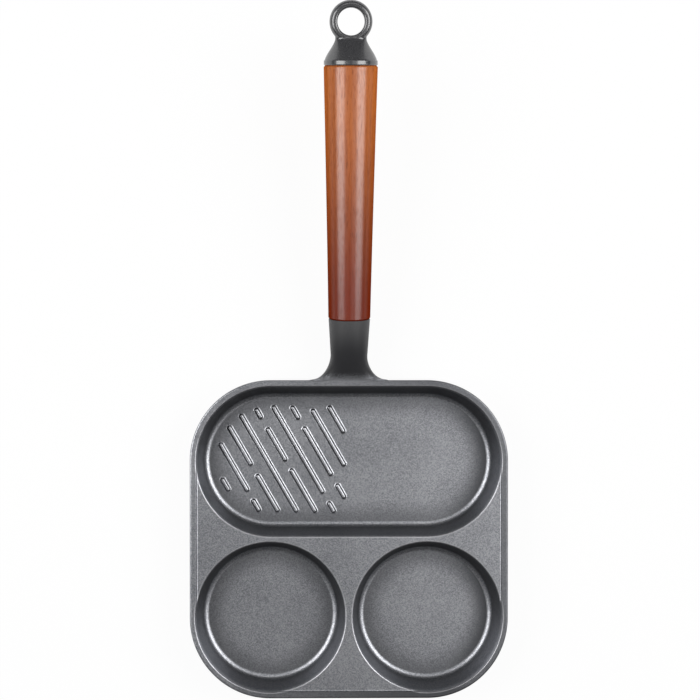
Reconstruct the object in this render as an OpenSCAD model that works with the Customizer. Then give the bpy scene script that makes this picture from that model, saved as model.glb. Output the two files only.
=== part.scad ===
// Cast iron breakfast pan: a ribbed oblong compartment, two egg cups and a long handle.
// The handle is a turned wooden grip, held between the pan's neck and an end cap with
// a hanging ring by a threaded tie rod that runs through the wood.
// The origin is the centre of the oblong compartment's foot, on the hob.
// +X runs to the right, +Y towards the handle and +Z up. All sizes are in millimetres.

/* [Compartments] */
// Diameter of each egg cup, measured at the rim
cup_d = 92.4; // [80:0.2:104]
// Metal left between the egg cups, measured at the rim
cup_gap = 3.8; // [2:0.1:8]
// Width of the oblong compartment, measured at the rim
oblong_w = 92.4; // [76:0.2:104]
// Length of the oblong compartment, measured at the rim
oblong_l = 187.6; // [176:0.2:230]
// Metal left between the oblong compartment and the egg cups, measured at the rim
web_w = 2.8; // [2:0.1:8]
// Depth of the compartments below the rim
pocket_depth = 20; // [15:0.5:28]
// Lean of the compartment walls from the vertical
wall_draft = 12; // [6:0.5:18]
// Radius that blends the walls into the floors
floor_fillet = 5.5; // [3:0.5:6]
// Radius of the rounded lips around the compartment mouths
lip_round = 0.8; // [0.4:0.1:1.2]

/* [Casting] */
// Thickness of the floors
floor_t = 4; // [3:0.25:6]
// Thickness of the compartment walls
wall_t = 3.6; // [3:0.1:5]
// Rounding between the feet and the outside of the walls
foot_round = 6; // [3:0.5:8]
// Width of the rim at the sides, beside the widest compartment
rim_w = 3.2; // [3:0.1:7]
// Width of the rim at the handle and at the front
rim_end_w = 3.7; // [3:0.1:7]
// Corner radius of the pan's outline
corner_r = 49.4; // [42:0.2:50]
// Height of the rim above the web between the compartments
rim_rise = 1.3; // [0.6:0.1:2.5]
// Setback of the web's step from the line of the compartment mouths
step_in = 0.3; // [0.2:0.1:0.8]
// Run of the cove at the foot of the step
cove_run = 1.2; // [0.6:0.1:2]
// Depth of the flange that carries the rim and the web
flange_t = 5.5; // [4:0.5:9]
// Rounding of the rim's outer top edge
edge_round = 1; // [0.4:0.1:1.5]
// Chamfer along the flange's lower edge
flange_chamfer = 0.6; // [0.2:0.1:1]

/* [Ribs] */
// Width of a rib at its foot
rib_w = 3.5; // [2:0.1:5]
// Height of a rib above the floor
rib_h = 1.3; // [0.6:0.1:1.7]
// Distance between neighbouring lines of ribs
rib_pitch = 10; // [8:0.5:14]
// Lean of the ribs from the direction of the handle
rib_lean = 30; // [15:1:45]
// Distance of the first line of ribs from the compartment's centre
rib_first = 6.2; // [0:0.1:10]
// Flat floor kept clear around the ribs
rib_margin = 2.4; // [1:0.2:6]
// Shortest rib that is kept where the floor cuts one short
rib_shortest = 3; // [1:0.5:6]

/* [Neck] */
// Reach of the neck from the rim to the middle of its end face
neck_reach = 37.8; // [32:0.1:60]
// Height of the end face's centre above the rim
neck_rise = 2; // [0:0.5:8]
// Diameter of the neck where it meets the grip
neck_d = 25.3; // [22:0.1:30]
// Width of the neck at its waist
waist_w = 22.5; // [18:0.1:28]
// Distance of the waist from the rim
waist_at = 15.5; // [10:0.5:22]
// Width of the flare where the neck leaves the rim
flare_w = 48.4; // [32:0.2:60]
// Height of the neck's root on the pan wall
root_h = 16; // [11:0.5:18]
// Squareness of the neck's section at the rim, where 2 is an oval
rim_square = 3.6; // [2:0.1:4]
// Angle at which the handle rises
handle_lean = 8.5; // [0:0.5:15]

/* [Grip] */
// Length of the wooden grip
grip_l = 152.5; // [100:0.1:220]
// Diameter of the grip at the neck
grip_neck_d = 25.6; // [20:0.1:32]
// Diameter of the grip at the end cap
grip_cap_d = 32.4; // [24:0.1:40]
// Swell of the taper: 1 is straight, more keeps the grip slim for longer
grip_swell = 1.12; // [1:0.01:1.6]
// Chamfer at the ends of the grip
grip_chamfer = 0.9; // [0.3:0.1:2]

/* [End cap] */
// Diameter of the cap where it meets the grip
cap_d = 32.2; // [24:0.1:40]
// Height of the cap's straight band
cap_band = 3; // [1.5:0.1:6]
// Step in from the band to the cap's shoulders
cap_step = 0.4; // [0.3:0.1:1]
// Rounding of the cap's edge at the grip
cap_edge = 0.8; // [0.3:0.1:1.2]
// Distance from the grip to the centre of the ring
ring_reach = 25.8; // [23:0.1:40]
// Width of the cap at its waist below the ring
cap_waist_w = 18.8; // [15:0.1:22]
// Outer diameter of the hanging ring
ring_d = 25.7; // [23:0.1:32]
// Diameter of the eye
eye_d = 16.2; // [12:0.1:18]
// Thickness of the ring
ring_t = 8; // [6:0.1:10]
// Height of the eye's straight land
eye_land = 5.2; // [3:0.1:5.6]

/* [Tie rod] */
// Diameter of the tie rod
rod_d = 8; // [5:0.5:9]
// Gap around the rod in its threaded holes
thread_gap = 0.15; // [0.1:0.05:0.3]
// Gap around the rod inside the grip
bore_gap = 0.4; // [0.2:0.1:1]
// Gap at the rod's ends
end_gap = 0.5; // [0.3:0.1:1]
// Depth of the rod's hole in the neck
neck_hole = 16; // [10:0.5:20]
// Depth of the rod's hole in the end cap
cap_hole = 11; // [7:0.5:12]
// Chamfer at the rod's ends
rod_chamfer = 0.8; // [0.3:0.1:1.2]

/* [Hidden] */
$fn = 96;
loft_sides = 36;
round_steps = 5;

iron = [0.33, 0.33, 0.35];
black_iron = [0.2, 0.2, 0.21];
wood = [0.62, 0.34, 0.19];
steel = [0.7, 0.7, 0.72];

// Heights of the casting
rim_z = floor_t + pocket_depth;
web_z = rim_z - rim_rise;
flange_z = rim_z - flange_t;
above = rim_z + 10;

// Plan of the casting
cup_r = cup_d / 2;
oblong_r = oblong_w / 2;
cup_x = cup_r + cup_gap / 2;
cup_y = -(oblong_r + web_w + cup_r);
oblong_run = oblong_l / 2 - oblong_r;
pan_half = max(oblong_l / 2, cup_x + cup_r) + rim_w;
step_x = min(oblong_l / 2, cup_x + cup_r) - step_in;
rim_y = oblong_r + rim_end_w;
front_y = cup_y - cup_r - rim_end_w;

// Place and direction of the handle, as [y, z]
joint = [rim_y + neck_reach, rim_z + neck_rise];
along = [cos(handle_lean), sin(handle_lean)];
across = [-sin(handle_lean), cos(handle_lean)];
neck_r = neck_d / 2;

// Radii of the narrow flat on the hanging ring
crest_in = eye_d / 2 + 0.3 * (ring_d - eye_d) / 2;
crest_out = eye_d / 2 + 0.4 * (ring_d - eye_d) / 2;

// The ribs on each line, as [start, end] along it from the middle of the compartment
rib_lines = [
    [[-33.5, -17]],
    [[-37, 1]],
    [[-45, -38.5], [-30, 2], [11, 18.5]],
    [[-51, 9], [18, 23]],
    [[-55, -50.5], [-41, -20], [-11.5, 17]],
    [[-56.5, 11]],
    [[-54, -28.5], [-19, 5]],
    [[-47.5, -15.5], [-7, -1]],
    [[-28, -21.5]]
];

// Points on an arc about c
function arc(c, r, from, to, steps) =
    [for (i = [0:steps]) let (a = from + (to - from) * i / steps) c + r * [cos(a), sin(a)]];

// Outline mirrored to both sides of the vertical axis
function both_sides(points) = concat(
    [for (p = points) if (p.x > 0) p],
    [for (i = [len(points) - 1:-1:0]) if (points[i].x > 0) [-points[i].x, points[i].y]]
);

// Radius of a drafted wall at height z, where r is its radius at the rim
function wall_r(r, z) = r - (rim_z - z) * tan(wall_draft);

// Distance that a rounding takes along the level face beside a drafted wall
function corner_run(round_r) = round_r * tan((90 - wall_draft) / 2);

// Profile of a compartment: floor, fillet, drafted wall and the lip at the rim
function cavity(r) =
    let (
        floor_edge = wall_r(r, floor_t) - corner_run(floor_fillet),
        lip = r + corner_run(lip_round)
    )
    concat(
        [[0, floor_t]],
        arc([floor_edge, floor_t + floor_fillet], floor_fillet, -90, -wall_draft, round_steps),
        arc([lip, rim_z - lip_round], lip_round, 180 - wall_draft, 90, round_steps),
        [[lip, above], [0, above]]
    );

// Profile of a compartment's outside, from its flat foot up into the flange
function shell(r) =
    let (
        skin = wall_t / cos(wall_draft),
        foot = wall_r(r, 0) + skin - corner_run(foot_round),
        top = (flange_z + web_z) / 2
    )
    concat(
        [[0, 0]],
        arc([foot, foot_round], foot_round, -90, -wall_draft, round_steps),
        [[wall_r(r, top) + skin, top], [0, top]]
    );

// Profile of the flange's edge, chamfered below and rounded above
function flange_edge(r) = concat(
    [[0, flange_z], [r - flange_chamfer, flange_z], [r, flange_z + flange_chamfer]],
    arc([r - edge_round, rim_z - edge_round], edge_round, 0, 90, round_steps),
    [[0, rim_z]]
);

// Profile of the web's step, which runs up to the rim in a cove
function cove(x) = concat(
    [for (i = [0:round_steps]) let (a = 90 * i / round_steps)
        [x - cove_run * (1 - sin(a)), web_z + rim_rise * (1 - cos(a))]],
    [[x, above]]
);

// A form with straight sides and round ends, from a profile about the vertical axis
module stadium(points, run) {
    for (side = [-1, 1]) {
        translate([side * run, 0, 0]) rotate_extrude() polygon(points);
    }
    rotate([90, 0, 90]) linear_extrude(2 * run, center = true) polygon(both_sides(points));
}

module at_cups() {
    for (side = [-1, 1]) {
        translate([side * cup_x, cup_y, 0]) children();
    }
}

// Level plate under the rim and the web
module flange() {
    handle_row = rim_y - corner_r;
    front_row = front_y + corner_r;
    for (y = [handle_row, front_row]) {
        translate([0, y, 0]) stadium(flange_edge(corner_r), pan_half - corner_r);
    }
    translate([0, handle_row, 0]) rotate([90, 0, 0])
        linear_extrude(handle_row - front_row) polygon(both_sides(flange_edge(pan_half)));
}

// Everything above the web, between the rims
module web_recess() {
    south = [for (p = cove(cup_r - step_in)) [-p.x, p.y]];
    rotate([90, 0, 0]) linear_extrude(-cup_y) polygon(both_sides(cove(step_x)));
    translate([0, cup_y, 0]) rotate([90, 0, 90])
        linear_extrude(2 * cup_x, center = true)
            polygon(concat(south, [[cup_r / 2, above], [cup_r / 2, web_z]]));
}

// Profile of a rib: a low round crown that stands on the floor
function rib_crown() =
    let (
        crown_r = (pow(rib_w / 2, 2) + pow(rib_h, 2)) / (2 * rib_h),
        side = 90 - asin(rib_w / 2 / crown_r),
        buried = floor_t / 4
    )
    concat(
        [[0, floor_t - buried], [rib_w / 2, floor_t - buried]],
        arc([0, floor_t + rib_h - crown_r], crown_r, side, 80, round_steps - 1),
        [[0, floor_t + rib_h - crown_r * (1 - sin(80))]]
    );

// Ribs lie on parallel lines and are cut short where they would leave the flat floor
module ribs() {
    field_r = wall_r(oblong_r, floor_t) - corner_run(floor_fillet) - rib_margin - rib_w / 2;
    for (k = [0:len(rib_lines) - 1]) {
        c = rib_first - k * rib_pitch;
        arc_gap = c + oblong_run * cos(rib_lean);
        half_chord = sqrt(max(0, field_r * field_r - arc_gap * arc_gap));
        arc_mid = -oblong_run * sin(rib_lean);
        flat_from = (c * sin(rib_lean) - field_r) / cos(rib_lean);
        flat_to = (c * sin(rib_lean) + field_r) / cos(rib_lean);
        from_x = c * cos(rib_lean) + flat_from * sin(rib_lean);
        to_x = c * cos(rib_lean) + flat_to * sin(rib_lean);
        line_from = from_x > -oblong_run ? flat_from : arc_mid - half_chord;
        line_to = to_x > -oblong_run ? flat_to : arc_mid + half_chord;
        for (run = rib_lines[k]) {
            from = max(run[0], line_from);
            to = min(run[1], line_to);
            if (to - from >= rib_shortest) {
                middle = (from + to) / 2;
                translate([
                    c * cos(rib_lean) + middle * sin(rib_lean),
                    c * sin(rib_lean) - middle * cos(rib_lean),
                    0
                ]) rotate([0, 0, rib_lean - 90]) stadium(rib_crown(), (to - from) / 2);
            }
        }
    }
}

// A smooth skin over a row of rings that all have the same number of points
module loft(rings) {
    n = len(rings[0]);
    last = len(rings) - 1;
    polyhedron(
        points = [for (ring = rings) for (p = ring) p],
        faces = concat(
            [[for (i = [n - 1:-1:0]) i]],
            [for (k = [0:last - 1]) for (i = [0:n - 1]) let (j = (i + 1) % n)
                [k * n + i, k * n + j, (k + 1) * n + j, (k + 1) * n + i]],
            [[for (i = [0:n - 1]) last * n + i]]
        )
    );
}

// A ring of the loft between two points of the side view: an oval, or squarer above 2
function oval(top, bottom, half_w, square = 2) =
    let (mid = (top + bottom) / 2, up = (top - bottom) / 2, power = 2 / square)
    [for (i = [0:loft_sides - 1]) let (
        a = 360 * i / loft_sides,
        reach = sign(cos(a)) * pow(abs(cos(a)), power),
        lift = sign(sin(a)) * pow(abs(sin(a)), power)
    ) [half_w * reach, mid.x + up.x * lift, mid.y + up.y * lift]];

function bezier(p, t) =
    pow(1 - t, 3) * p[0] + 3 * t * pow(1 - t, 2) * p[1]
    + 3 * t * t * (1 - t) * p[2] + pow(t, 3) * p[3];

// Half the neck's width at distance d from the rim: a flare, a waist and a slow taper
function neck_half_w(d) =
    let (
        left = min(1, max(0, 1 - d / waist_at)),
        grown = min(1, (d - waist_at) / (neck_reach - waist_at))
    )
    d > waist_at
        ? waist_w / 2 + (neck_d - waist_w) / 2 * grown
        : waist_w / 2 + (flare_w - waist_w) / 2 * (1 - sqrt(1 - left * left));

// The neck's section turns from squarish at the rim to round at the grip
function neck_square(d) = 2 + (rim_square - 2) * pow(max(0, min(1, 1 - d / neck_reach)), 2);

// The neck rises out of the rim and runs into the direction of the handle
module neck() {
    rim_edge = [rim_y - edge_round / 2, rim_z - edge_round / 20];
    root = [oblong_r, rim_z - root_h];
    top_end = joint + neck_r * across;
    bottom_end = joint - neck_r * across;
    top_line = [rim_edge, rim_edge + [6, 0], top_end - 0.65 * neck_reach * along, top_end];
    bottom_line = [root, root + [12, 1], bottom_end - 0.35 * neck_reach * along, bottom_end];
    steps = 16;
    buried = oval(rim_edge - [rim_end_w, 1], root + [-wall_t / 2, 2], flare_w / 2, rim_square);
    loft(concat(
        [buried],
        [for (i = [0:steps]) let (
            t = pow(i / steps, 1.4),
            top = bezier(top_line, t),
            bottom = bezier(bottom_line, t),
            d = (top.x + bottom.x) / 2 - rim_y
        ) oval(top, bottom, neck_half_w(d), neck_square(d))]
    ));
}

// The handle's own frame: its axis along +Y from the neck's end face
module on_handle() {
    translate([0, joint.x, joint.y]) rotate([handle_lean, 0, 0]) children();
}

// A turned form about the handle's axis, from a profile of [radius, distance]
module turned(points) {
    rotate([-90, 0, 0]) rotate_extrude() polygon(points);
}

module pan_casting() {
    color(iron) {
        difference() {
            union() {
                flange();
                stadium(shell(oblong_r), oblong_run);
                at_cups() rotate_extrude() polygon(shell(cup_r));
                neck();
            }
            stadium(cavity(oblong_r), oblong_run);
            at_cups() rotate_extrude() polygon(cavity(cup_r));
            web_recess();
            on_handle() rotate([90, 0, 0]) translate([0, 0, -1])
                cylinder(h = neck_hole + 1, d = rod_d + 2 * thread_gap);
        }
        ribs();
    }
}

module wooden_grip() {
    steps = 10;
    neck_r0 = grip_neck_d / 2;
    cap_r0 = grip_cap_d / 2;
    color(wood) on_handle() difference() {
        turned(concat(
            [[0, 0], [neck_r0 - grip_chamfer, 0]],
            [for (i = [0:steps]) let (s = grip_chamfer + (grip_l - 2 * grip_chamfer) * i / steps)
                [neck_r0 + (cap_r0 - neck_r0) * pow(s / grip_l, grip_swell), s]],
            [[cap_r0 - grip_chamfer, grip_l], [0, grip_l]]
        ));
        translate([0, -1, 0]) rotate([-90, 0, 0])
            cylinder(h = grip_l + 2, d = rod_d + 2 * bore_gap);
    }
}

// Profile of the ring without its eye: a full round below a narrow flat
function ring_outside() =
    let (steps = 8, half = ring_t / 2, round_w = ring_d / 2 - crest_out)
    concat(
        [[0, -half]],
        [for (i = [-steps:steps]) let (a = 90 * i / steps)
            [crest_out + round_w * cos(a), half * sin(a)]],
        [[0, half]]
    );

// Profile of the eye: a straight land that flares above and below
function eye_opening() =
    let (
        steps = 5,
        half = ring_t / 2,
        land = eye_land / 2,
        flare = [for (i = [0:steps]) let (a = 90 * i / steps)
            [eye_d / 2 + (crest_in - eye_d / 2) * (1 - cos(a)), land + (half - land) * sin(a)]]
    )
    concat(
        [[0, -ring_t], [crest_in, -ring_t]],
        [for (i = [steps:-1:0]) [flare[i].x, -flare[i].y]],
        flare,
        [[crest_in, ring_t], [0, ring_t]]
    );

// How far the cap has grown at distance u from the ring's centre, from the ring to the band
function growth(u, from) = max(0, min(1, (u - from) / (ring_reach - cap_band - from)));

// Half the cap's width and thickness at distance u from the ring's centre
function cap_half_w(u) =
    let (f = growth(u, ring_d * 0.41), widest = cap_d / 2 - cap_step)
    cap_waist_w / 2 + (widest - cap_waist_w / 2) * (f + 3 * f * f - 2 * f * f * f) / 2;
function cap_half_t(u) =
    let (thin = ring_t / 2 - 0.3, widest = cap_d / 2 - cap_step)
    thin + (widest - thin) * pow(growth(u, crest_out), 1.6);

module end_cap() {
    cap_r = cap_d / 2;
    base = ring_reach - cap_band;
    root = (eye_d + ring_d) / 6;
    steps = 12;
    places = concat(
        [base + cap_band / 2],
        [for (i = [0:steps]) base + (root - base) * i / steps]
    );
    color(black_iron) on_handle() translate([0, grip_l, 0]) difference() {
        union() {
            turned(concat(
                [[0, 0]],
                arc([cap_r - cap_edge, cap_edge], cap_edge, -90, 0, round_steps),
                [[cap_r, cap_band], [0, cap_band]]
            ));
            translate([0, ring_reach, 0]) loft([for (u = places)
                oval([-u, cap_half_t(u)], [-u, -cap_half_t(u)], cap_half_w(u))]);
            translate([0, ring_reach, 0]) rotate_extrude() polygon(ring_outside());
        }
        translate([0, ring_reach, 0]) rotate_extrude() polygon(eye_opening());
        translate([0, -1, 0]) rotate([-90, 0, 0])
            cylinder(h = cap_hole + 1, d = rod_d + 2 * thread_gap);
    }
}

module tie_rod() {
    from = end_gap - neck_hole;
    to = grip_l + cap_hole - end_gap;
    r = rod_d / 2;
    color(steel) on_handle() turned([
        [0, from], [r - rod_chamfer, from], [r, from + rod_chamfer],
        [r, to - rod_chamfer], [r - rod_chamfer, to], [0, to]
    ]);
}

pan_casting();
wooden_grip();
end_cap();
tie_rod();
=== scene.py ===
# %% [markdown]
# # Breakfast pan with a turned wooden handle
#
# This script dresses the plain construction model of a cast iron pan. The pan has one
# long oblong compartment, ribbed like a griddle on its left side, and two round egg
# cups in front of it. A flared neck leaves the rim and carries a long wooden grip,
# which a black end cap with a hanging ring closes.
#
# The construction model comes in as the frame. Every piece below is made in the same
# place and at the same size, so it can stand in for the plain solid.

# %% Load the frame
import math

import bmesh
import bpy
from mathutils import Matrix, Vector


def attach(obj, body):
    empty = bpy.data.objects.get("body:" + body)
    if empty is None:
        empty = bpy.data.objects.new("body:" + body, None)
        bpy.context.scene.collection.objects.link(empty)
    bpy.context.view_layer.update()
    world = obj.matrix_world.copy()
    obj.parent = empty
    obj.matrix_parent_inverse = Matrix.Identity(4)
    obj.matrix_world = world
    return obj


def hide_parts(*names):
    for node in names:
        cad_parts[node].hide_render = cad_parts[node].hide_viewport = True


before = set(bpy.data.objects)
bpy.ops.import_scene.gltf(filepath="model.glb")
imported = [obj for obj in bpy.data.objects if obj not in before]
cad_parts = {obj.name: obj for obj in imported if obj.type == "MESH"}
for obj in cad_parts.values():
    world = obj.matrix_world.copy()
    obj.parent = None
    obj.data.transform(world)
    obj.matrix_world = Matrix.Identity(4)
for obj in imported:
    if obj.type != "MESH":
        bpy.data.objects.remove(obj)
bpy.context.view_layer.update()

MM = 0.001

# %% [markdown]
# The sizes are the ones the casting was drawn with, in millimetres. The walls of a
# cast compartment lean outwards so that the pattern lifts out of the sand, the floors
# run into the walls in a fillet, and the mouths end in a small round lip. The land
# between the compartments lies a little lower than the outer rim.

# %% Sizes of the casting
RIM_Z, WEB_Z, FLANGE_Z, FLOOR_Z = 24.0, 22.7, 18.5, 4.0
ABOVE = 34.0
CUP_R, CUP_X, CUP_Y = 46.2, 48.1, -95.2
OBLONG_R, OBLONG_RUN = 46.2, 47.6
PAN_HALF, RIM_Y, FRONT_Y, CORNER_R = 97.5, 49.9, -145.1, 49.4
STEP_X, STEP_REACH, COVE_RUN = 93.5, 45.9, 1.2
DRAFT, INNER_DRAFT = math.radians(12), math.radians(15)
FLOOR_FILLET, FOOT_ROUND, WALL = 4.2, 6.0, 3.6
LIP, EDGE, STEP_EDGE, CHAMFER = 0.8, 1.0, 0.3, 0.6
THREAD_R, HOLE_DEPTH = 4.15, 16


def wall_r(r, z):
    """Radius of a leaning wall at height z, where r is its radius at the rim."""
    return r - (RIM_Z - z) * math.tan(DRAFT)


def corner_run(radius):
    """How far a rounding reaches along the level face beside a leaning wall."""
    return radius * math.tan((math.pi / 2 - DRAFT) / 2)


def arc(cx, cy, radius, start, stop, steps):
    """Points on an arc, with its angles in degrees."""
    angles = [math.radians(start + (stop - start) * i / steps) for i in range(steps + 1)]
    return [(cx + radius * math.cos(a), cy + radius * math.sin(a)) for a in angles]


# %% [markdown]
# Most of the casting turns about a few upright centre lines: a cup has one, the oblong
# compartment has two with straight sides between them, and the rim has four, one in
# each corner. So one list of places serves them all. A place holds the centre that a
# point turns about and the direction in which it looks, and a profile says how far out
# and how high each point of the skin lies there.

# %% Closed skins over rings of points
def places(centres, steps):
    """The places around a form, counter-clockwise, with a number of steps to each centre."""
    span = 360 / len(centres)
    first = -90 if len(centres) == 2 else 0
    found = []
    for k, centre in enumerate(centres):
        for i in range(steps if len(centres) == 1 else steps + 1):
            a = math.radians(first + span * (k + i / steps))
            found.append((centre, (math.cos(a), math.sin(a))))
    return found


def solid(name, rings):
    """A closed skin over rings of points in millimetres, with a flat face at each end."""
    n, last = len(rings[0]), len(rings) - 1
    points = [tuple(v * MM for v in p) for ring in rings for p in ring]
    faces = [tuple(range(n))[::-1], tuple(range(last * n, (last + 1) * n))]
    for k in range(last):
        for i in range(n):
            j = (i + 1) % n
            faces.append((k * n + i, k * n + j, (k + 1) * n + j, (k + 1) * n + i))
    mesh = bpy.data.meshes.new(name)
    mesh.from_pydata(points, [], faces)
    made = bpy.data.objects.new(name, mesh)
    bpy.context.scene.collection.objects.link(made)
    tidy(made)
    return made


def tidy(piece):
    """Merges doubled points and turns all faces outwards."""
    work = bmesh.new()
    work.from_mesh(piece.data)
    bmesh.ops.remove_doubles(work, verts=work.verts, dist=2e-6)
    bmesh.ops.recalc_face_normals(work, faces=work.faces)
    work.to_mesh(piece.data)
    work.free()


def formed(name, around, profile):
    """A solid whose skin follows profile(centre, direction) at every place around it."""
    columns = []
    for (cx, cy), (ux, uy) in around:
        columns.append([(cx + r * ux, cy + r * uy, z) for r, z in profile((cx, cy), (ux, uy))])
    return solid(name, [list(ring) for ring in zip(*columns)])


def settle(piece):
    """Turns what the modifiers make into the piece's own mesh and drops the modifiers."""
    now = bpy.context.evaluated_depsgraph_get()
    mesh = bpy.data.meshes.new_from_object(piece.evaluated_get(now), depsgraph=now)
    old = piece.data
    piece.modifiers.clear()
    piece.data = mesh
    mesh.name = piece.name
    bpy.data.meshes.remove(old)


def cut(body, tool, operation="DIFFERENCE"):
    """Cuts the tool out of the body, or adds it, and throws the tool away."""
    step = body.modifiers.new(operation.lower(), "BOOLEAN")
    step.operation, step.solver, step.object = operation, "MANIFOLD", tool
    settle(body)
    bpy.data.objects.remove(tool)


def add(body, tool):
    cut(body, tool, "UNION")


# %% [markdown]
# First comes the outside of the casting: a level plate that carries the rim and the
# land between the compartments, with a rounded top edge, and under it the three bowls,
# each standing on a flat foot of its own.

# %% Plate and bowls
def plate_edge(centre, direction):
    r = CORNER_R
    below = [(r - CHAMFER, FLANGE_Z), (r, FLANGE_Z + CHAMFER)]
    return below + arc(r - EDGE, RIM_Z - EDGE, EDGE, 0, 90, 8)


def bowl(r):
    """Profile of a bowl's outside, from its flat foot up into the plate."""
    skin = WALL / math.cos(DRAFT)
    top = (FLANGE_Z + WEB_Z) / 2
    foot = wall_r(r, 0) + skin - corner_run(FOOT_ROUND)
    points = arc(foot, FOOT_ROUND, FOOT_ROUND, -90, -math.degrees(DRAFT), 10)
    points.append((wall_r(r, top) + skin, top))
    return lambda centre, direction: points


corner_x, back_y, front_y = PAN_HALF - CORNER_R, RIM_Y - CORNER_R, FRONT_Y + CORNER_R
corners = [(corner_x, back_y), (-corner_x, back_y), (-corner_x, front_y), (corner_x, front_y)]
oblong = places([(OBLONG_RUN, 0), (-OBLONG_RUN, 0)], 144)
cups = [places([(side * CUP_X, CUP_Y)], 288) for side in (-1, 1)]

pan = formed("pan", places(corners, 72), plate_edge)
add(pan, formed("oblong_bowl", oblong, bowl(OBLONG_R)))
for cup in cups:
    add(pan, formed("cup_bowl", cup, bowl(CUP_R)))
print("plate and bowls:", len(pan.data.vertices), "points")

# %% [markdown]
# The neck leaves the rim as a wide, squarish flare, draws in to a slim waist and turns
# round where it meets the wood. It is a loft: rings that change their width, height
# and squareness along two curves in the side view. Its end has a small rounding, which
# catches the light beside the wood.

# %% Neck
LEAN = math.radians(8.5)
NECK_REACH, NECK_RISE, NECK_D = 37.8, 2.0, 25.3
WAIST_W, WAIST_AT, FLARE_W, ROOT_H, RIM_SQUARE = 22.5, 15.5, 48.4, 16.0, 3.6
TOP_PULL, LOW_PULL, TOP_EASE, LOW_EASE = Vector((6, 0)), Vector((12, 1)), 0.65, 0.35
ALONG = Vector((math.cos(LEAN), math.sin(LEAN)))
ACROSS = Vector((-math.sin(LEAN), math.cos(LEAN)))
JOINT = Vector((RIM_Y + NECK_REACH, RIM_Z + NECK_RISE))


def oval(top, bottom, half_w, square, sides):
    """A ring between two points of the side view: an oval at 2, squarer above that."""
    mid, up, power = (top + bottom) / 2, (top - bottom) / 2, 2 / square
    ring = []
    for i in range(sides):
        a = math.tau * i / sides
        c, s = math.cos(a), math.sin(a)
        reach = math.copysign(abs(c) ** power, c)
        lift = math.copysign(abs(s) ** power, s)
        ring.append((half_w * reach, mid.x + up.x * lift, mid.y + up.y * lift))
    return ring


def bezier(p, t):
    return ((1 - t) ** 3 * p[0] + 3 * t * (1 - t) ** 2 * p[1]
            + 3 * t * t * (1 - t) * p[2] + t ** 3 * p[3])


def neck_half_w(d):
    """Half the neck's width at distance d from the rim: a flare, a waist, a slow taper."""
    if d > WAIST_AT:
        grown = min(1, (d - WAIST_AT) / (NECK_REACH - WAIST_AT))
        return WAIST_W / 2 + (NECK_D - WAIST_W) / 2 * grown
    left = min(1, max(0, 1 - d / WAIST_AT))
    return WAIST_W / 2 + (FLARE_W - WAIST_W) / 2 * (1 - math.sqrt(1 - left * left))


def neck_square(d):
    return 2 + (RIM_SQUARE - 2) * max(0, min(1, 1 - d / NECK_REACH)) ** 2


# %% [markdown]
# The loft starts inside the rim, so that the two skins cross cleanly, and follows a
# curve along its top and another along its underside. Its rings stand closer together
# near the rim, where the flare bends most.

# %% Loft of the neck
def make_neck(sides=120, steps=48, end_round=0.5):
    rim_edge = Vector((RIM_Y - EDGE / 2, RIM_Z - EDGE / 20))
    root = Vector((OBLONG_R, RIM_Z - ROOT_H))
    end_r = NECK_D / 2
    top_end, low_end = JOINT + end_r * ACROSS, JOINT - end_r * ACROSS
    top = [rim_edge, rim_edge + TOP_PULL, top_end - TOP_EASE * NECK_REACH * ALONG, top_end]
    low = [root, root + LOW_PULL, low_end - LOW_EASE * NECK_REACH * ALONG, low_end]
    rings = [oval(rim_edge - Vector((3.7, 1)), root + Vector((-WALL / 2, 2)),
                  FLARE_W / 2, RIM_SQUARE, sides)]
    for i in range(steps):
        t = (i / steps) ** 1.4
        a, b = bezier(top, t), bezier(low, t)
        d = (a.x + b.x) / 2 - RIM_Y
        rings.append(oval(a, b, neck_half_w(d), neck_square(d), sides))
    for r, s in arc(end_r - end_round, -end_round, end_round, 0, 90, 5):
        at = JOINT + s * ALONG
        rings.append(oval(at + r * ACROSS, at - r * ACROSS, r, 2, sides))
    return solid("neck", rings)


add(pan, make_neck())
print("with the neck:", len(pan.data.vertices), "points")

# %% [markdown]
# Now the inside. The land between the compartments is sunk below the rim, and a narrow
# cove leads up to the rim where the step runs past the mouths. It could be drawn as one
# outline and cut down, but two bars with the cove in their profile do the same with
# fewer points. The step's height is also needed as a function, for the lips that follow.

# %% Sunk land
def step_height(gap):
    """Height of the step's skin at a distance inside the step line (less than 0: outside)."""
    if gap >= COVE_RUN:
        return WEB_Z
    if gap >= 0:
        s = 1 - gap / COVE_RUN
        return WEB_Z + (RIM_Z - STEP_EDGE - WEB_Z) * (1 - math.sqrt(1 - s * s))
    back = max(0, STEP_EDGE + gap)
    return RIM_Z - STEP_EDGE + math.sqrt(STEP_EDGE ** 2 - back ** 2)


def top_height(x, y):
    """Height of the casting's top at a place in the plan."""
    if y > 0:
        return RIM_Z
    if y >= CUP_Y:
        return step_height(STEP_X - abs(x))
    if abs(x) < CUP_X:
        return step_height(y - (CUP_Y - STEP_REACH))
    return RIM_Z


def step_profile(x):
    """The cove and the rounded edge of the step, from the land up past the rim."""
    gaps = [COVE_RUN * (1 - math.sin(math.radians(9 * i))) for i in range(11)]
    gaps += [-STEP_EDGE * (1 - math.cos(math.radians(15 * i))) for i in range(1, 7)]
    return [(x - gap, step_height(gap)) for gap in gaps] + [(x + STEP_EDGE, ABOVE)]


def make_side_step():
    half = step_profile(STEP_X)
    line = half + [(-x, z) for x, z in reversed(half)]
    return solid("side_step", [[(x, y, z) for x, z in line] for y in (CUP_Y, 0)])


def make_front_step():
    line = [(CUP_Y - x, z) for x, z in step_profile(STEP_REACH)]
    line += [(CUP_Y + CUP_R / 2, ABOVE), (CUP_Y + CUP_R / 2, WEB_Z)]
    return solid("front_step", [[(x, y, z) for y, z in line] for x in (-CUP_X, CUP_X)])


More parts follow.
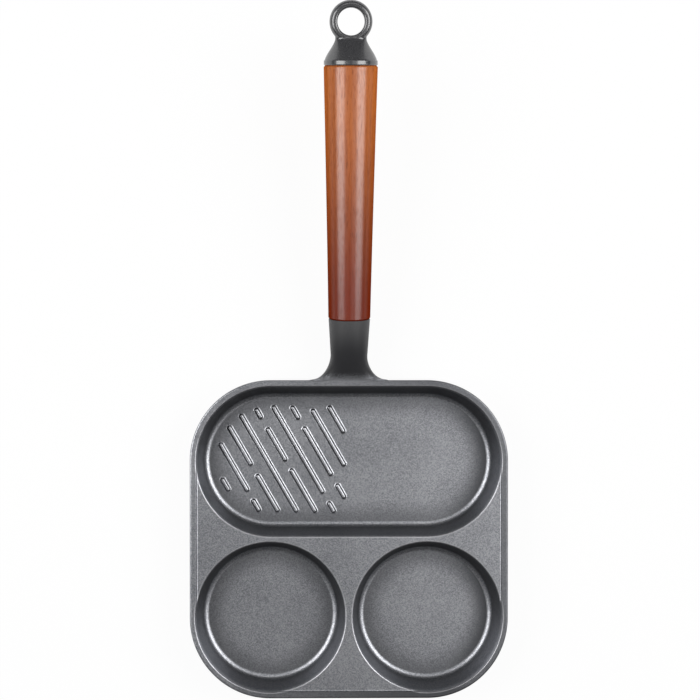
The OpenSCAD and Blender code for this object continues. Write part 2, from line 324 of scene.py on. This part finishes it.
cut(pan, make_side_step())
cut(pan, make_front_step())
print("with the sunk land:", len(pan.data.vertices), "points")

# %% [markdown]
# The three compartments are cut next. Their lips follow the height of whatever lies
# around the mouth, the rim or the lower land, so the height is looked up at every
# place, and the lip slides down the leaning wall to meet it. Two rings just below the
# lowest lip are the same all round. They keep the bends of the lip out of the wall's
# shading, which otherwise shows a streak where the step meets the mouth.

# %% Compartments
WALL_RINGS = (19.5, 21.0)


def compartment(r):
    """Profile of a compartment: floor fillet, leaning wall and a lip at the local height."""
    z = FLOOR_Z + FLOOR_FILLET
    x = r - (WEB_Z - z) * math.tan(INNER_DRAFT) - FLOOR_FILLET / math.cos(INNER_DRAFT)
    base = arc(x, z, FLOOR_FILLET, -90, -math.degrees(INNER_DRAFT), 14)
    foot_x, foot_z = base[-1]
    top_x = wall_r(r, WEB_Z) + corner_run(LIP) - LIP * math.cos(DRAFT)
    top_z = WEB_Z - LIP + LIP * math.sin(DRAFT)
    for z in WALL_RINGS:
        base.append((foot_x + (top_x - foot_x) * (z - foot_z) / (top_z - foot_z), z))

    def profile(centre, direction):
        h = RIM_Z
        for _ in range(14):
            lip = wall_r(r, h) + corner_run(LIP)
            x, y = (c + lip * u for c, u in zip(centre, direction))
            h = (h + top_height(x, y)) / 2
        edge = arc(lip, h - LIP, LIP, 180 - math.degrees(DRAFT), 90, 8)
        return base + edge + [(lip, ABOVE)]

    return profile


cut(pan, formed("oblong_inside", oblong, compartment(OBLONG_R)))
for cup in cups:
    cut(pan, formed("cup_inside", cup, compartment(CUP_R)))
print("with compartments:", len(pan.data.vertices), "points")

# %% [markdown]
# The handle has its own line, which starts in the middle of the neck's end face and
# rises gently. A small frame maps points of turned pieces, given as a radius and a
# distance along that line, to their place in the pan.

# %% Turned pieces on the handle's line
HANDLE = Matrix.Translation((0, JOINT.x * MM, JOINT.y * MM)) @ Matrix.Rotation(LEAN, 4, "X")


def on_handle(rings):
    """Rings of (x, along, up) in the handle's frame, moved to their place in the pan."""
    moved = []
    for ring in rings:
        moved.append([tuple(v / MM for v in HANDLE @ (Vector(p) * MM)) for p in ring])
    return moved


def turned(name, profile, sides=128):
    """A solid of revolution about the handle's line from a profile of (radius, distance)."""
    rings = []
    for r, s in profile:
        angles = [math.tau * i / sides for i in range(sides)]
        rings.append([(r * math.cos(a), s, r * math.sin(a)) for a in angles])
    return solid(name, on_handle(rings))


cut(pan, turned("neck_hole", [(THREAD_R, -HOLE_DEPTH), (THREAD_R, 1)], 48))
print("with the neck's hole:", len(pan.data.vertices), "points")

# %% [markdown]
# The griddle ribs lie on parallel lines and have different lengths. Some lines hold two
# or three short ones, and the outermost are cut short where the floor curves up. One
# short rib is the pattern: a round crown that runs into the floor in a fillet of the
# same radius, so it has a bright crest, dark flanks and no flat side.

# %% Layout of the ribs
RIB_H, RIB_CROWN, RIB_FOOT = 1.4, 1.4, 1.4
RIB_PITCH, RIB_FIRST, RIB_LEAN = 10.0, 6.2, math.radians(30)
RIB_FIELD, RIB_SHORTEST, RIB_SUNK = 33.345, 3, 0.01
RIB_LINES = [
    [(-33.5, -17)],
    [(-37, 1)],
    [(-45, -38.5), (-30, 2), (11, 18.5)],
    [(-51, 9), (18, 23)],
    [(-55, -50.5), (-41, -20), (-11.5, 17)],
    [(-56.5, 11)],
    [(-54, -28.5), (-19, 5)],
    [(-47.5, -15.5), (-7, -1)],
    [(-28, -21.5)],
]


def rib_layout():
    """Each rib as (x, y, half its straight length), kept clear of the floor's fillet."""
    sin, cos = math.sin(RIB_LEAN), math.cos(RIB_LEAN)
    found = []
    for k, runs in enumerate(RIB_LINES):
        c = RIB_FIRST - k * RIB_PITCH
        bend = c + OBLONG_RUN * cos
        chord = math.sqrt(max(0, RIB_FIELD * RIB_FIELD - bend * bend))
        ends = [(c * sin - RIB_FIELD) / cos, (c * sin + RIB_FIELD) / cos]
        round_ends = [-OBLONG_RUN * sin - chord, -OBLONG_RUN * sin + chord]
        ends = [e if c * cos + e * sin > -OBLONG_RUN else r for e, r in zip(ends, round_ends)]
        for start, stop in runs:
            start, stop = max(start, ends[0]), min(stop, ends[1])
            if stop - start >= RIB_SHORTEST:
                m = (start + stop) / 2
                found.append((c * cos + m * sin, c * sin - m * cos, (stop - start) / 2))
    return found


def rib_pattern():
    """A rib without length: a round crown with a filleted foot, in halves marked -1 and 1 later.
    """
    lean = math.acos(1 - RIB_H / (RIB_CROWN + RIB_FOOT))
    out, meet = (RIB_CROWN + RIB_FOOT) * math.sin(lean), 90 - math.degrees(lean)
    profile = [(out, -1.0)] + arc(out, RIB_FOOT, RIB_FOOT, 270, 180 + meet, 7)
    profile += arc(0, RIB_H - RIB_CROWN, RIB_CROWN, meet, 86, 9)[1:]
    around = places([(0.0, 0.0), (-0.0, 0.0)], 24)
    return formed("rib_pattern", around, lambda centre, direction: profile)


ribs_at = rib_layout()
print("ribs:", len(ribs_at), "straight length mm:", round(sum(2 * h for _, _, h in ribs_at)))

# %% [markdown]
# Nodes, for shapes and for finishes alike, are written as Python expressions here. They
# could be added and linked one by one, but then a sum of three values takes ten lines.
# A small class holds one socket, and each operator adds the node that does the sum.

# %% A socket that can be reckoned with
class Wire:
    """A node socket that can stand in a Python expression. An operator adds a Math node."""

    def __init__(self, tree, socket=None):
        self.tree, self.socket = tree, socket

    def node(self, kind, settings=None, inputs=None, output=0):
        """Adds any node: its type, its settings, the values or wires of its sockets."""
        made = self.tree.nodes.new(kind)
        for name, value in (settings or {}).items():
            if name == "stops":
                ramp = made.color_ramp
                while len(ramp.elements) < len(value):
                    ramp.elements.new(0.5)
                for element, (at, colour) in zip(ramp.elements, value):
                    element.position, element.color = at, colour
            else:
                setattr(made, name, value)
        for key, value in (inputs or {}).items():
            if isinstance(value, Wire):
                self.tree.links.new(value.socket, made.inputs[key])
            else:
                made.inputs[key].default_value = value
        return Wire(self.tree, made.outputs[output]) if len(made.outputs) else made

    def other(self, output):
        """Another output of the same node."""
        return Wire(self.tree, self.socket.node.outputs[output])

    def maths(self, operation, *values):
        return self.node("ShaderNodeMath", {"operation": operation}, dict(enumerate(values)))

    def __add__(self, other):
        return self.maths("ADD", self, other)

    def __sub__(self, other):
        return self.maths("SUBTRACT", self, other)

    def __rsub__(self, other):
        return self.maths("SUBTRACT", other, self)

    def __mul__(self, other):
        return self.maths("MULTIPLY", self, other)

    def __truediv__(self, other):
        return self.maths("DIVIDE", self, other)

    def __rtruediv__(self, other):
        return self.maths("DIVIDE", other, self)

    def __pow__(self, other):
        return self.maths("POWER", self, other)

    def __abs__(self):
        return self.maths("ABSOLUTE", self)

    __radd__ = __add__
    __rmul__ = __mul__


# %% [markdown]
# Ribs repeat, so Geometry Nodes lay them. The two halves of the pattern carry the marks
# -1 and 1. The tree puts one copy on each point of the layout, turns it to the lean of
# the ribs and pulls the halves apart by the length that the point carries. All ribs
# then join the casting.

# %% Ribs by Geometry Nodes
def rib_tree(pattern, material):
    """Lays the pattern on every point, leans it and pulls its halves apart."""
    tree = bpy.data.node_groups.new("laid_ribs", "GeometryNodeTree")
    face = tree.interface
    face.new_socket("Layout", in_out="INPUT", socket_type="NodeSocketGeometry")
    rib = face.new_socket("Rib", in_out="INPUT", socket_type="NodeSocketObject")
    lean = face.new_socket("Lean", in_out="INPUT", socket_type="NodeSocketFloat")
    finish = face.new_socket("Finish", in_out="INPUT", socket_type="NodeSocketMaterial")
    face.new_socket("Ribs", in_out="OUTPUT", socket_type="NodeSocketGeometry")
    start = Wire(tree).node("NodeGroupInput")
    angle = start.other("Lean")
    turn = start.node("ShaderNodeCombineXYZ", None, {"Z": angle})
    shape = start.node("GeometryNodeObjectInfo", None, {"Object": start.other("Rib")}, "Geometry")
    laid = start.node("GeometryNodeInstanceOnPoints", None,
                      {"Points": start.other("Layout"), "Instance": shape, "Rotation": turn})
    real = start.node("GeometryNodeRealizeInstances", None, {0: laid})
    half = start.node("GeometryNodeInputNamedAttribute", {"data_type": "FLOAT"}, {"Name": "half"})
    side = start.node("GeometryNodeInputNamedAttribute", {"data_type": "FLOAT"}, {"Name": "side"})
    pull = half * side
    offset = start.node("ShaderNodeCombineXYZ", None,
                        {"X": pull * start.maths("COSINE", angle),
                         "Y": pull * start.maths("SINE", angle)})
    moved = start.node("GeometryNodeSetPosition", None, {"Geometry": real, "Offset": offset})
    done = start.node("GeometryNodeSetMaterial", None,
                      {"Geometry": moved, "Material": start.other("Finish")})
    start.node("NodeGroupOutput", None, {0: done})
    values = {rib.identifier: pattern, lean.identifier: RIB_LEAN - math.pi / 2,
              finish.identifier: material}
    return tree, values


def lay_ribs(material):
    pattern = rib_pattern()
    marks = pattern.data.attributes.new("side", "FLOAT", "POINT")
    for mark, point in zip(marks.data, pattern.data.vertices):
        mark.value = 1.0 if point.co.x > 0 else -1.0
    mesh = bpy.data.meshes.new("ribs")
    mesh.from_pydata([(x * MM, y * MM, (FLOOR_Z - RIB_SUNK) * MM) for x, y, _ in ribs_at], [], [])
    lengths = mesh.attributes.new("half", "FLOAT", "POINT")
    for length, (_, _, half) in zip(lengths.data, ribs_at):
        length.value = half * MM
    ribs = bpy.data.objects.new("ribs", mesh)
    bpy.context.scene.collection.objects.link(ribs)
    laid = ribs.modifiers.new("laid_ribs", "NODES")
    laid.node_group, values = rib_tree(pattern, material)
    for name, value in values.items():
        laid[name] = value
    settle(ribs)
    bpy.data.objects.remove(pattern)
    return ribs


# %% [markdown]
# ## Finishes
#
# The finishes come before the ribs, because the ribs take one with them. A finish is
# worked out from the place on the piece alone, so it needs no picture and no unwrapped
# skin. These helpers turn a screen colour into the shader's own, mix colours and fade
# from one place to the next.

# %% Helpers for finishes
def colour(red, green, blue):
    """A screen colour from 0 to 255 as the linear colour that a shader takes."""
    linear = []
    for v in (red / 255, green / 255, blue / 255):
        linear.append(v / 12.92 if v <= 0.04045 else ((v + 0.055) / 1.055) ** 2.4)
    return (*linear, 1.0)


def new_finish(name):
    """An empty material and a wire to start its nodes from."""
    material = bpy.data.materials.new(name)
    material.use_nodes = True
    material.node_tree.nodes.clear()
    return material, Wire(material.node_tree)


def surface(wire, sockets):
    """The shader itself, led to the output."""
    shader = wire.node("ShaderNodeBsdfPrincipled", None, sockets)
    wire.node("ShaderNodeOutputMaterial", None, {"Surface": shader})


def mixed(wire, amount, first, second, how="MIX"):
    """A colour between two colours."""
    return wire.node("ShaderNodeMix", {"data_type": "RGBA", "blend_type": how},
                     {0: amount, 6: first, 7: second}, 2)


def ramp(wire, value, low, high):
    """0 below low, 1 above high, smooth between."""
    return wire.node("ShaderNodeMapRange", {"interpolation_type": "SMOOTHSTEP"},
                     {"Value": value, "From Min": low, "From Max": high})


def noise(wire, at, scale, detail=2.0, rough=0.5):
    return wire.node("ShaderNodeTexNoise", None,
                     {"Vector": at, "Scale": scale, "Detail": detail, "Roughness": rough})


# %% [markdown]
# The cast skin is a fine, matt grain: every grain has a slightly different grey and
# stands a few hundredths of a millimetre proud, and a few grains are lightened as
# painted glints. Broad, faint clouds break up the evenness. The lips are rubbed brighter
# by wear. Painted highlight and shade follow the form: the ribs are lightened as a
# painted highlight and their flanks darkened as painted shade, and the walls and the
# floors beside them, more so on the right, carry painted shade. The rim's top is darker
# towards the right and the front. The neck is painted black, lighter towards the wood
# as painted light. The metal reflects a little less at grazing angles, because its
# grain breaks the reflection up.

# %% Where the casting is worn, carries painted light and shade, or is painted black
# Each pair is the start and the end of a fade, in metres: outwards or inwards from the
# line of the mouths, upwards, or along the handle.
LIP_FADE = 0.0002, 0.0008
# Painted shade: the wall fades darken the walls, the edge fades the floors beside them.
WALL_SHADE_START, WALL_SHADE_END = (0.0004, 0.0012), (0.0045, 0.0058)
EDGE_SHADE_START, EDGE_SHADE_END = (0.0071, 0.0080), (0.0078, 0.0230)
EDGE_SHADE_RIGHT, RIM_RIGHT, RIM_FRONT = (0.055, 0.085), (-0.095, 0.06), (-0.142, -0.134)
RIM_TOP, RIB_ROOT, RIB_AREA = (0.0232, 0.0236), (0.00401, 0.00406), (0.0090, 0.0095)
# Painted shade on the flanks of the ribs lies between these two fades.
FLANK_SHADE_START, FLANK_SHADE_END = (0.00428, 0.00440), (0.00500, 0.00512)
# The neck is painted black from the first fade on; the second lightens it towards the wood as
# painted light.
PAINT_START, PAINTED_LIGHT_TOWARD_WOOD = (0.0495, 0.0560), (0.066, 0.086)


def mouth_distance(wire, x, y, run, cx, cy, r):
    """How far a place lies outside a compartment's mouth, in metres."""
    across = wire.maths("MAXIMUM", abs(x) - (run + cx) * MM, 0.0) if run else abs(x) - cx * MM
    along = y - cy * MM
    return (across ** 2.0 + along ** 2.0) ** 0.5 - r * MM


# %% Cast iron skin
def cast_iron():
    material, wire = new_finish("cast_iron_skin")
    at = wire.node("ShaderNodeTexCoord", None, None, "Object")
    x = wire.node("ShaderNodeSeparateXYZ", None, {0: at})
    y = x.other("Y")
    mouth = wire.maths(
        "MINIMUM",
        mouth_distance(wire, x, y, OBLONG_RUN, 0, 0, OBLONG_R),
        mouth_distance(wire, x, y, 0, CUP_X, CUP_Y, CUP_R))
    lip = 1 - ramp(wire, abs(mouth - 0.0001), *LIP_FADE)
    grain = noise(wire, at, 2800.0, 2.0, 0.6)
    grit = wire.node("ShaderNodeTexVoronoi", None, {"Vector": at, "Scale": 2300.0}, "Color")
    tone = wire.node("ShaderNodeSeparateColor", None, {0: grit})
    painted = ramp(wire, y + 0.003 * tone, *PAINT_START)
    clouds = noise(wire, at, 28.0, 3.0, 0.55)
    level = 0.35 * grain + 0.35 * tone + 0.30 * clouds
    skin = mixed(wire, ramp(wire, level, 0.25, 0.75), colour(119, 121, 126), colour(175, 176, 180))
    # Painted glints: a few grains are lightened in the colour.
    painted_glint = ramp(wire, tone.other("Green") * grain, 0.46, 0.60)
    skin = mixed(wire, painted_glint * 0.5, skin, colour(205, 205, 208))
    inside = 0 - mouth
    z = x.other("Z")
    # Painted shade on the walls and on the floors beside them, deeper on the right.
    wall = ramp(wire, inside, *WALL_SHADE_START) * (1 - ramp(wire, inside, *WALL_SHADE_END))
    edge = ramp(wire, inside, *EDGE_SHADE_START) * (1 - ramp(wire, inside, *EDGE_SHADE_END))
    # The rim's top is darker towards the right and the front.
    front = 1 - ramp(wire, y, *RIM_FRONT)
    rim = ramp(wire, z, *RIM_TOP) * (0.66 * ramp(wire, x, *RIM_RIGHT) + 0.35 * front)
    edge = edge * (0.60 + 0.35 * ramp(wire, x, *EDGE_SHADE_RIGHT))
    # The painted shade and the darker rim share one dark grey.
    skin = mixed(wire, edge + wall * 0.50 + rim, skin, colour(92, 93, 96))
    # Painted highlight over the ribs, and painted shade on their flanks.
    rib = ramp(wire, z, *RIB_ROOT) * ramp(wire, inside, *RIB_AREA)
    painted_flank_shade = ramp(wire, z, *FLANK_SHADE_START) * (1 - ramp(wire, z, *FLANK_SHADE_END))
    skin = mixed(wire, rib * 0.15, skin, colour(230, 230, 232))
    skin = mixed(wire, rib * painted_flank_shade, skin, colour(80, 81, 84))
    skin = mixed(wire, lip * 0.35, skin, colour(215, 215, 218))
    # The neck's black is lighter towards the wood: painted light.
    paint_with_painted_light = mixed(wire, ramp(wire, y, *PAINTED_LIGHT_TOWARD_WOOD), colour(42, 42, 44), colour(66, 66, 67))
    skin = mixed(wire, painted, skin, paint_with_painted_light)
    height = (grain * 0.6 + tone * 0.4) * (1 - 0.75 * painted)
    bump = wire.node("ShaderNodeBump", None,
                     {"Strength": 0.6, "Distance": 0.000036, "Height": height})
    surface(wire, {
        "Base Color": skin,
        "Metallic": 0.93 - 0.93 * painted,
        "Roughness": 0.33 + 0.08 * tone.other("Blue") + 0.14 * painted,
        "Specular IOR Level": 0.6,
        "Specular Tint": colour(170, 170, 170),
        "Normal": bump,
    })
    return material


iron = cast_iron()
ribs = lay_ribs(iron)
print("ribs laid:", len(ribs.data.vertices), "points")

# %% [markdown]
# The ribs join the casting before it is shaded, so that crest, fillet and floor are one
# skin. Then the casting takes the place of the plain solid.

# %% Join the ribs and set the casting's shading
def smooth(piece, angle=35):
    """Smooth shading with crisp edges, weighted so that level faces stay level."""
    for face in piece.data.polygons:
        face.use_smooth = True
    piece.data.set_sharp_from_angle(angle=math.radians(angle))
    weighted = piece.modifiers.new("weighted", "WEIGHTED_NORMAL")
    weighted.keep_sharp, weighted.weight = True, 50
    settle(piece)


def finish_piece(piece, material, node):
    """Gives a piece its finish and its place in the frame."""
    piece.data.materials.clear()
    piece.data.materials.append(material)
    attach(piece, "root")
    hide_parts(node)
    flat = sum(len(face.vertices) - 2 for face in piece.data.polygons)
    print(piece.name, "has", flat, "triangles")


add(pan, ribs)
tidy(pan)
smooth(pan)
finish_piece(pan, iron, "pan_casting")

# %% [markdown]
# The grip is turned from a reddish hardwood and gets slimmer towards the neck. The ends
# are chamfered, and a bore for the tie rod runs through it.

# %% Wooden grip
GRIP_L, GRIP_NECK_R, GRIP_CAP_R, GRIP_CHAMFER, GRIP_BORE_R = 152.5, 12.8, 16.2, 0.9, 4.4


def grip_radius(s):
    return GRIP_NECK_R + (GRIP_CAP_R - GRIP_NECK_R) * (s / GRIP_L) ** 1.12


def grip_profile(rows=48):
    inner = GRIP_L - 2 * GRIP_CHAMFER
    stations = [GRIP_CHAMFER + inner * i / rows for i in range(rows + 1)]
    ends = [(GRIP_NECK_R - GRIP_CHAMFER, 0), (GRIP_CAP_R - GRIP_CHAMFER, GRIP_L)]
    return [ends[0]] + [(grip_radius(s), s) for s in stations] + [ends[1]]


grip = turned("grip", grip_profile())
cut(grip, turned("grip_bore", [(GRIP_BORE_R, -1), (GRIP_BORE_R, GRIP_L + 1)], 64))
tidy(grip)
smooth(grip, 30)

# %% [markdown]
# The wood is darker at the neck and warmer towards the cap. Its grain runs along the
# handle: long streaks, short flecks, fine dark pores and a few broader bands. All of it
# is drawn in the handle's own directions, so nothing has to be unwrapped. A satin
# lacquer lies over it, thinner on the flecks and pores, which breaks up its shine.

# %% Lacquered wood
def hardwood():
    material, wire = new_finish("lacquered_hardwood")
    at = wire.node("ShaderNodeTexCoord", None, None, "Object")
    x = wire.node("ShaderNodeSeparateXYZ", None, {0: at})
    y, z = x.other("Y") - JOINT.x * MM, x.other("Z") - JOINT.y * MM
    along = y * ALONG.x + z * ALONG.y
    up = y * ACROSS.x + z * ACROSS.y

    def grain(stretch, scale, detail, rough=0.5):
        place = wire.node("ShaderNodeCombineXYZ", None, {"X": x, "Y": up, "Z": along / stretch})
        return noise(wire, place, scale, detail, rough)

    bands = grain(14.0, 160.0, 3.0)
    streaks = grain(28.0, 900.0, 3.0, 0.6)
    pores = ramp(wire, grain(16.0, 2300.0, 1.0), 0.60, 0.70)
    flecks = ramp(wire, grain(3.5, 1000.0, 2.0, 0.6), 0.46, 0.68)
    reach = ramp(wire, along + (bands - 0.5) * 0.03, 0.0, GRIP_L * MM)
    tint = mixed(wire, reach, colour(110, 35, 14), colour(182, 102, 47))
    tint = mixed(wire, ramp(wire, bands, 0.35, 0.70) * 0.4, tint, colour(108, 46, 24))
    tint = mixed(wire, ramp(wire, streaks, 0.45, 0.75) * 0.35, tint, colour(96, 40, 22))
    tint = mixed(wire, flecks * 0.22, tint, colour(112, 50, 26))
    tint = mixed(wire, pores * 0.38, tint, colour(58, 24, 14))
    turned_away = wire.node("ShaderNodeLayerWeight", None, {"Blend": 0.5}, "Facing")
    bump = wire.node("ShaderNodeBump", None, {"Strength": 0.25, "Distance": 0.00008,
                                              "Height": streaks * 0.6 - pores * 0.8})
    surface(wire, {
        "Base Color": tint,
        "Roughness": 0.50 + 0.12 * streaks,
        "Specular IOR Level": 0.0,
        "Coat Weight": (1 - 0.3 * pores) * (1 - 0.35 * flecks)
        * (1 - ramp(wire, turned_away, 0.12, 0.55)),
        "Coat Roughness": 0.27,
        "Coat IOR": 1.68,
        "Normal": bump,
    })
    return material


finish_piece(grip, hardwood(), "wooden_grip")

# %% [markdown]
# The end cap starts as a round band on the wood, draws in with soft shoulders and ends
# in a ring. Cast pieces have no sharp inner corners, so the shoulders and the ring are
# fused and relaxed first, and the band, the eye and the threaded hole are cut clean
# afterwards. Two curves give half the width and half the thickness of the shoulders.

# %% End cap
CAP_R, CAP_BAND, CAP_STEP, CAP_EDGE, BAND_EDGE, CAP_HOLE = 16.1, 3.0, 0.4, 0.8, 0.25, 11
RING_REACH, RING_D, EYE_D, RING_T, EYE_LAND, CAP_WAIST = 25.8, 25.7, 16.2, 8.0, 5.2, 18.8
CREST_IN = EYE_D / 2 + 0.3 * (RING_D - EYE_D) / 2
CREST_OUT = EYE_D / 2 + 0.4 * (RING_D - EYE_D) / 2


def growth(u, start):
    """How far the cap has grown at distance u from the ring's centre."""
    return max(0, min(1, (u - start) / (RING_REACH - CAP_BAND - start)))


def cap_half_w(u):
    f = growth(u, RING_D * 0.41)
    widest = CAP_R - CAP_STEP
    return CAP_WAIST / 2 + (widest - CAP_WAIST / 2) * (f + 3 * f * f - 2 * f ** 3) / 2


def cap_half_t(u):
    thin, widest = RING_T / 2 + 0.15, CAP_R - CAP_STEP
    return thin + (widest - thin) * growth(u, CREST_OUT - 1.0) ** 1.2


def ring_form(name, profile, sides=144):
    """A solid turned about the eye's axis, from a profile of (radius, height)."""
    centre = GRIP_L + RING_REACH
    rings = []
    for r, z in profile:
        angles = [math.tau * i / sides for i in range(sides)]
        rings.append([(r * math.cos(a), centre + r * math.sin(a), z) for a in angles])
    return solid(name, on_handle(rings))


# %% [markdown]
# The shoulders are a loft of ovals that run into the ring. Both are fused into one skin
# of small, even faces and relaxed, which leaves the soft inner corners of a casting.

# %% Shoulders, ring and eye
def make_shoulders():
    base, root = RING_REACH - CAP_BAND, (EYE_D + RING_D) / 6
    stations = [base + CAP_BAND / 2] + [base + (root - base) * i / 40 for i in range(41)]
    rings = []
    for u in stations:
        w, t = cap_half_w(u), cap_half_t(u)
        angles = [math.tau * i / 96 for i in range(96)]
        rings.append([(w * math.cos(a), GRIP_L + RING_REACH - u, t * math.sin(a))
                      for a in angles])
    return solid("end_cap_with_ring", on_handle(rings))


def make_end_cap():
    half, land, round_w = RING_T / 2, EYE_LAND / 2, RING_D / 2 - CREST_OUT
    turns = [math.radians(7.5 * i) for i in range(-12, 13)]
    outside = [(CREST_OUT + round_w * math.cos(a), half * math.sin(a)) for a in turns]
    cap = make_shoulders()
    add(cap, ring_form("ring_outside", outside))
    fused = cap.modifiers.new("fused", "REMESH")
    fused.mode, fused.voxel_size = "VOXEL", 0.35 * MM
    relaxed = cap.modifiers.new("relaxed", "SMOOTH")
    relaxed.factor, relaxed.iterations = 0.5, 14
    settle(cap)
    rise = [math.radians(9 * i) for i in range(11)]
    flare = [(EYE_D / 2 + (CREST_IN - EYE_D / 2) * (1 - math.cos(a)),
              land + (half - land) * math.sin(a)) for a in rise]
    opening = [(CREST_IN, -RING_T)] + [(r, -z) for r, z in reversed(flare)]
    opening += flare + [(CREST_IN, RING_T)]
    band = [(r, GRIP_L + s) for r, s in arc(CAP_R - CAP_EDGE, CAP_EDGE, CAP_EDGE, -90, 0, 8)]
    band += [(r, GRIP_L + s)
             for r, s in arc(CAP_R - BAND_EDGE, CAP_BAND - BAND_EDGE, BAND_EDGE, 0, 90, 4)]
    add(cap, turned("cap_band", band))
    cut(cap, ring_form("eye", opening))
    cut(cap, turned("cap_hole", [(THREAD_R, GRIP_L - 1), (THREAD_R, GRIP_L + CAP_HOLE)], 48))
    tidy(cap)
    return cap


end_cap = make_end_cap()
smooth(end_cap, 40)

# %% [markdown]
# The cap is black and satin-glossy, with the soft ripple that enamel has on a casting.

# %% Black enamel
def black_enamel():
    material, wire = new_finish("black_enamel")
    at = wire.node("ShaderNodeTexCoord", None, None, "Object")
    ripple = noise(wire, at, 420.0, 2.0)
    dust = noise(wire, at, 2600.0, 1.0)
    shade = mixed(wire, ramp(wire, dust, 0.50, 0.75), colour(50, 50, 52), colour(70, 70, 72))
    turned_away = wire.node("ShaderNodeLayerWeight", None, {"Blend": 0.5}, "Facing")
    bump = wire.node("ShaderNodeBump", None, {"Strength": 0.1, "Distance": 0.0001,
                                              "Height": ripple + dust * 0.3})
    surface(wire, {
        "Base Color": shade,
        "Roughness": 0.20 + 0.10 * ripple,
        "Specular IOR Level": 1.0,
        "Coat Weight": 0.6 - 0.5 * turned_away,
        "Coat Roughness": 0.14,
        "Normal": bump,
    })
    return material


finish_piece(end_cap, black_enamel(), "end_cap")

# %% [markdown]
# The tie rod is right as it comes from the frame. It only needs its bright steel, with
# fine drawing lines along it.

# %% Tie rod
def drawn_steel():
    material, wire = new_finish("drawn_steel")
    at = wire.node("ShaderNodeTexCoord", None, None, "Object")
    x = wire.node("ShaderNodeSeparateXYZ", None, {0: at})
    place = wire.node("ShaderNodeCombineXYZ", None,
                      {"X": x, "Y": x.other("Y") / 40.0, "Z": x.other("Z")})
    lines = noise(wire, place, 2400.0, 2.0)
    tone = mixed(wire, lines, colour(170, 170, 172), colour(205, 205, 207))
    bump = wire.node("ShaderNodeBump", None,
                     {"Strength": 0.15, "Distance": 0.00005, "Height": lines})
    surface(wire, {"Base Color": tone, "Metallic": 1.0, "Roughness": 0.28 + 0.15 * lines,
                   "Normal": bump})
    return material


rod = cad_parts["tie_rod"]
rod.data.materials.clear()
rod.data.materials.append(drawn_steel())

# %% [markdown]
# ## Floor, light and camera
#
# The pan stands on a white floor that runs out far beyond it. The floor glows white for
# the camera and in reflections, while its own paper still takes the pan's shadow.

# %% Floor
def white_floor():
    material, wire = new_finish("white_floor")
    path = wire.node("ShaderNodeLightPath", None, None, "Is Camera Ray")
    seen = wire.maths("MAXIMUM", path, path.other("Is Glossy Ray"))
    seen = wire.maths("MAXIMUM", seen, path.other("Is Transmission Ray"))
    paper = wire.node("ShaderNodeBsdfDiffuse", None, {"Color": (0.8, 0.8, 0.8, 1)})
    glow = wire.node("ShaderNodeEmission", None, {"Color": (1, 1, 1, 1), "Strength": 1.0})
    both = wire.node("ShaderNodeMixShader", None, {0: seen * 0.94, 1: paper, 2: glow})
    wire.node("ShaderNodeOutputMaterial", None, {"Surface": both})
    return material


floor_mesh = bpy.data.meshes.new("floor")
floor_mesh.from_pydata([(-6, -6, 0), (6, -6, 0), (6, 6, 0), (-6, 6, 0)], [], [(0, 1, 2, 3)])
floor = bpy.data.objects.new("floor", floor_mesh)
bpy.context.scene.collection.objects.link(floor)
floor_mesh.materials.append(white_floor())

# %% [markdown]
# Two large soft boxes hang left and right of the pan, beyond its middle, so that the
# metal's fillets and the crests of the ribs catch them from that side alone. A weaker
# box stands beyond the handle, and two faint ones hang overhead, the right one brighter,
# which lifts the right of the floors. The room itself is dark to the metal and white to
# the camera, past the floor's edge.

# %% Light
def soft_box(name, place, aim, width, length, level):
    """A rectangular lamp that looks at a point. Its level is how bright its face is."""
    lamp = bpy.data.lights.new(name, "AREA")
    lamp.shape, lamp.size, lamp.size_y = "RECTANGLE", width, length
    lamp.energy = level * math.pi * width * length
    box = bpy.data.objects.new(name, lamp)
    box.location = place
    look = Vector(aim) - Vector(place)
    box.rotation_euler = look.to_track_quat("-Z", "Y").to_euler()
    bpy.context.scene.collection.objects.link(box)
    return box


middle = (0.0, 0.02, 0.02)
soft_box("left_box", (-0.88, 0.23, 0.90), middle, 1.00, 0.84, 4.9)
soft_box("right_box", (0.86, 0.23, 0.92), middle, 1.00, 0.84, 5.1)
soft_box("handle_box", (0.0, 0.98, 1.20), middle, 0.9, 0.4, 1.8)
soft_box("ceiling_right", (0.42, -0.15, 1.75), (0.42, -0.15, 0.0), 0.54, 1.0, 0.9)
soft_box("ceiling_left", (-0.42, -0.15, 1.75), (-0.42, -0.15, 0.0), 0.54, 1.0, 0.45)
print("lamps:", [lamp.name for lamp in bpy.data.lights])

room = bpy.data.worlds.new("room")
bpy.context.scene.world = room
room.use_nodes = True
room.node_tree.nodes.clear()
air = Wire(room.node_tree)
path = air.node("ShaderNodeLightPath", None, None, "Is Camera Ray")
strength = 0.07 + 0.93 * path
sky = air.node("ShaderNodeBackground", None, {"Color": (1, 1, 1, 1), "Strength": strength})
air.node("ShaderNodeOutputWorld", None, {"Surface": sky})

# %% [markdown]
# The camera looks almost straight down, as in the photograph, from a little to the left
# of the handle's line. A shift of the lens centres the pan without turning the camera.

# %% Camera
eye = bpy.data.cameras.new("camera")
eye.sensor_width, eye.lens = 36.0, 1800 * 36.0 / 700
eye.shift_x = 40 / 700
eye.dof.use_dof = False
camera = bpy.data.objects.new("camera", eye)
camera.location = (-0.040164, 0.080321, 1.124146)
camera.rotation_euler = (-0.010781, -0.014736, 0.000029)
bpy.context.scene.collection.objects.link(camera)
bpy.context.scene.camera = camera
bpy.context.scene.view_settings.view_transform = "Standard"
